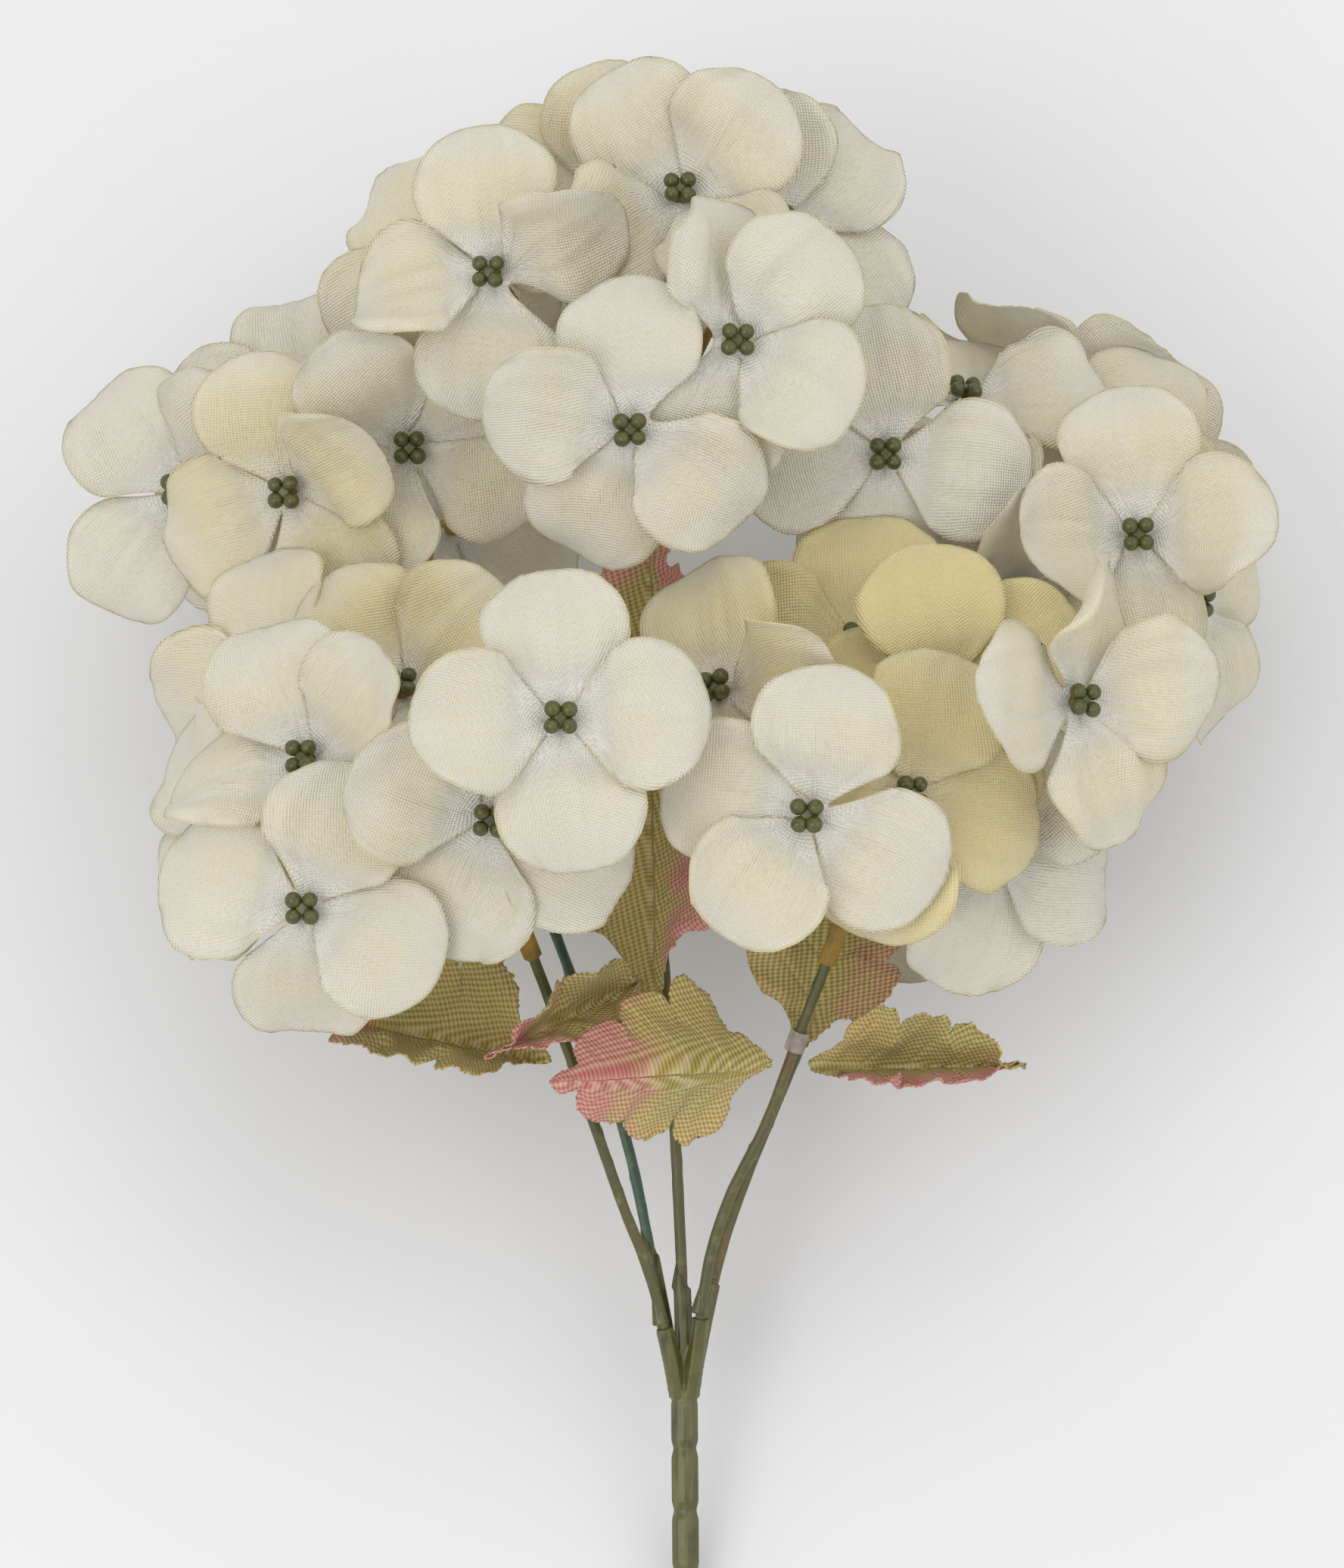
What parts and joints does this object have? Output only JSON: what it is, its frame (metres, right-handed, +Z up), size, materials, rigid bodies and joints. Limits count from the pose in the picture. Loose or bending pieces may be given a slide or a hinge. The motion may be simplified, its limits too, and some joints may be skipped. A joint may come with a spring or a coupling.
{
  "type": "artificial hydrangea bush",
  "caption": "Artificial bunch of cream hydrangeas: cloth florets on moulded sprays, wired stems joined in a tail, and cloth leaves, lying on its back.",
  "frame": {"origin": "centre of the footprint, on the surface that the bunch lies on", "axes": "+Y from the stems' tail towards the flower heads, +X to the right seen from above with the heads at the top, +Z up"},
  "size_m": [0.2546, 0.31, 0.1533],
  "materials": {
    "petal_cloth": "ivory woven polyester with a fine plain weave and a pale yellow rim",
    "leaf_cloth": "ribbed polyester, olive to ochre with coral pink edges",
    "spray_plastic": "moulded plastic, ochre brown branches and olive beads",
    "stem_plastic": "olive plastic skin over wire, satin",
    "tail_plastic": "moulded olive plastic, semi-gloss",
    "collar_plastic": "clear plastic gone slightly grey"
  },
  "bodies": {
    "root": {"tail": "tail_plastic", "stem_lower_left": "stem_plastic", "stem_upper_left": "stem_plastic", "stem_top": "stem_plastic", "stem_lower_right": "stem_plastic", "stem_upper_right": "stem_plastic", "leaf_collar_top": "collar_plastic", "leaf_collar_lower_right": "collar_plastic", "leaf_back": "leaf_cloth", "leaf_left": "leaf_cloth", "leaf_front_left": "leaf_cloth", "leaf_right": "leaf_cloth", "leaf_right_back": "leaf_cloth", "leaf_front": "leaf_cloth", "spray_lower_left": "spray_plastic", "spray_lower_right": "spray_plastic", "spray_top": "spray_plastic", "spray_upper_left": "spray_plastic", "spray_upper_right": "spray_plastic", "floret_lower_left_1": "petal_cloth", "floret_lower_left_2": "petal_cloth", "floret_lower_left_3": "petal_cloth", "floret_lower_left_4": "petal_cloth", "floret_lower_left_5": "petal_cloth", "floret_lower_left_6": "petal_cloth", "floret_lower_left_7": "petal_cloth", "floret_lower_left_8": "petal_cloth", "floret_lower_right_1": "petal_cloth", "floret_lower_right_2": "petal_cloth", "floret_lower_right_3": "petal_cloth", "floret_lower_right_4": "petal_cloth", "floret_lower_right_5": "petal_cloth", "floret_lower_right_6": "petal_cloth", "floret_lower_right_7": "petal_cloth", "floret_lower_right_8": "petal_cloth", "floret_top_1": "petal_cloth", "floret_top_2": "petal_cloth", "floret_top_3": "petal_cloth", "floret_top_4": "petal_cloth", "floret_top_5": "petal_cloth", "floret_top_6": "petal_cloth", "floret_top_7": "petal_cloth", "floret_top_8": "petal_cloth", "floret_top_9": "petal_cloth", "floret_upper_left_1": "petal_cloth", "floret_upper_left_2": "petal_cloth", "floret_upper_left_3": "petal_cloth", "floret_upper_left_4": "petal_cloth", "floret_upper_left_5": "petal_cloth", "floret_upper_left_6": "petal_cloth", "floret_upper_left_7": "petal_cloth", "floret_upper_right_1": "petal_cloth", "floret_upper_right_2": "petal_cloth", "floret_upper_right_3": "petal_cloth", "floret_upper_right_4": "petal_cloth", "floret_upper_right_5": "petal_cloth", "floret_upper_right_6": "petal_cloth", "floret_upper_right_7": "petal_cloth", "floret_upper_right_8": "petal_cloth", "floret_upper_right_9": "petal_cloth"}
  },
  "joints": []
}
